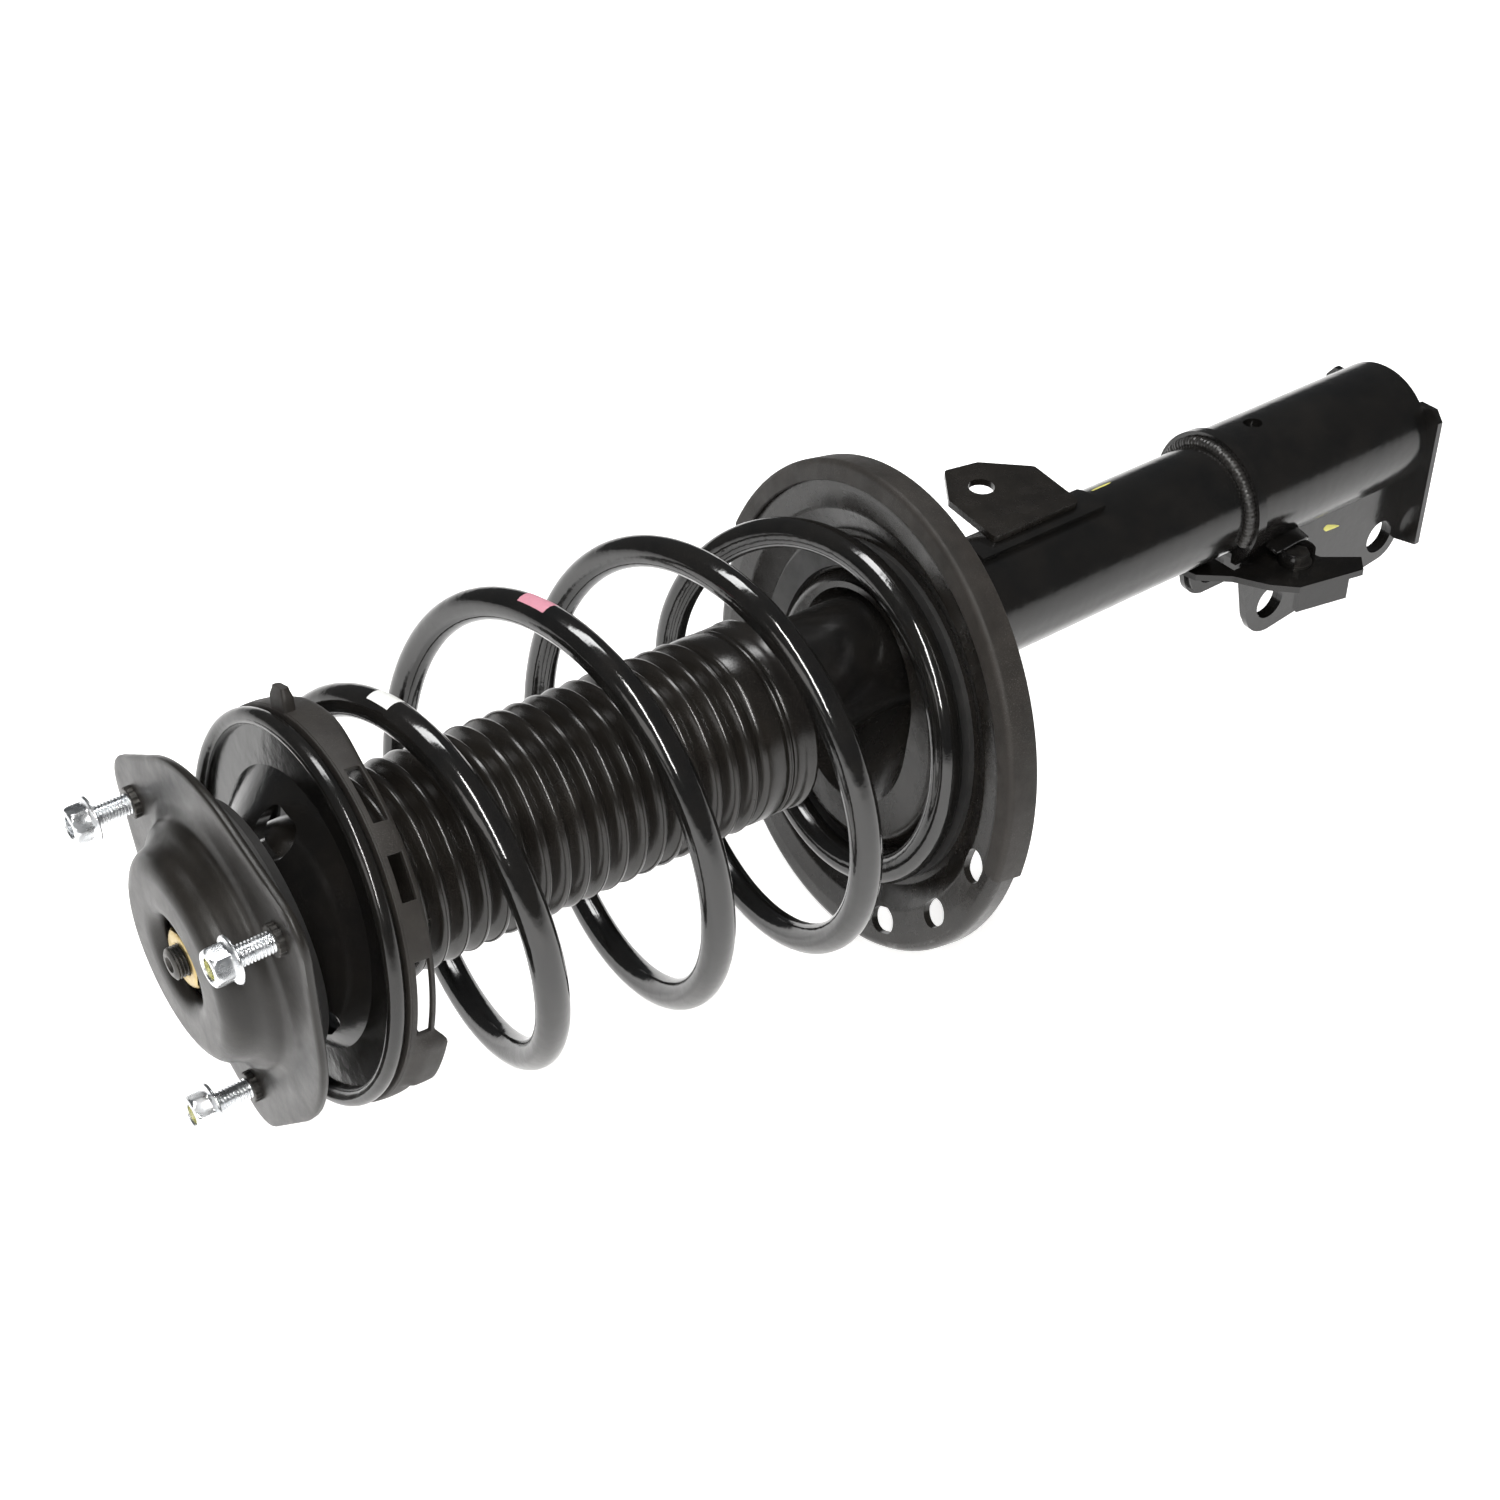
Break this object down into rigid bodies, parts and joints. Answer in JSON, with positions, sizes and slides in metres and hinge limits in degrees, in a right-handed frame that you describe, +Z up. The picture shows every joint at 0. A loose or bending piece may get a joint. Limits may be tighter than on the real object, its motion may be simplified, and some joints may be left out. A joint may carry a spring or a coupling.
{
  "type": "strut assembly",
  "caption": "Vehicle suspension strut: telescopic damper inside a coil spring, with a studded top mount that lets it turn, a dust boot, and brackets for the wheel knuckle.",
  "frame": {"origin": "centre of the stud circle, on the mounting face of the top mount's plate", "axes": "+X along the damper from the top mount to the knuckle bracket; +Z up with the strut lying on its side, away from the bracket's ears; +Y across the ears"},
  "size_m": [0.619, 0.2044, 0.2058],
  "materials": {
    "mount_plate": "satin black e-coat",
    "zinc": "bright zinc plate",
    "gold_zinc": "yellow zinc plate",
    "mount_rubber": "matte",
    "bearing_steel": "ground",
    "rod_steel": "hard chrome",
    "gloss_black": "gloss black paint",
    "coil_black": "gloss black powder coat",
    "boot_rubber": "satin",
    "seal_rubber": "matte",
    "foam": "microcellular foam",
    "guard_rubber": "matte",
    "plain_steel": "machined",
    "weld": "painted weld bead"
  },
  "bodies": {
    "mount": {"mount_cup": "mount_plate", "mount_studs": "zinc", "stud_nuts": "zinc", "mount_backing": "mount_plate", "mount_rubber": "mount_rubber", "mount_sleeve": "plain_steel", "bearing_outer_race": "bearing_steel", "bearing_balls": "bearing_steel", "dust_seal": "seal_rubber"},
    "rod": {"bearing_inner_race": "bearing_steel", "rod_nut": "gold_zinc", "rod_washer": "plain_steel", "piston_rod": "rod_steel", "upper_spring_seat": "gloss_black", "upper_insulator": "guard_rubber", "bump_stop": "foam", "dust_boot": "boot_rubber", "coil_spring": "coil_black", "rebound_stop": "seal_rubber", "piston": "plain_steel", "piston_ring": "seal_rubber", "piston_nut": "plain_steel"},
    "tube": {"base_valve": "plain_steel", "bracket_inner": "gloss_black", "bump_cap": "zinc", "collar_weld": "weld", "hose_bolt": "gloss_black", "hose_bracket": "gloss_black", "hose_nut": "gloss_black", "inner_cylinder": "plain_steel", "knuckle_bracket": "gloss_black", "link_bracket": "gloss_black", "link_saddle": "gloss_black", "lower_insulator": "guard_rubber", "lower_spring_seat": "gloss_black", "oil_seal": "seal_rubber", "outer_tube": "gloss_black", "rod_guide": "plain_steel", "seat_edge_guard": "guard_rubber", "seat_weld": "weld", "tube_cap": "gloss_black"}
  },
  "joints": [
    {"name": "swivel", "type": "hinge", "parent": "mount", "child": "rod", "pos_m": [0, 0, 0], "axis": [1, 0, 0], "continuous": true},
    {"name": "stroke", "type": "slide", "parent": "rod", "child": "tube", "axis": [-1, 0, 0], "range_m": [0, 0.1], "stiffness_N_per_m": 22000, "springref_m": -0.004, "deforming": ["coil_spring", "dust_boot"]}
  ]
}
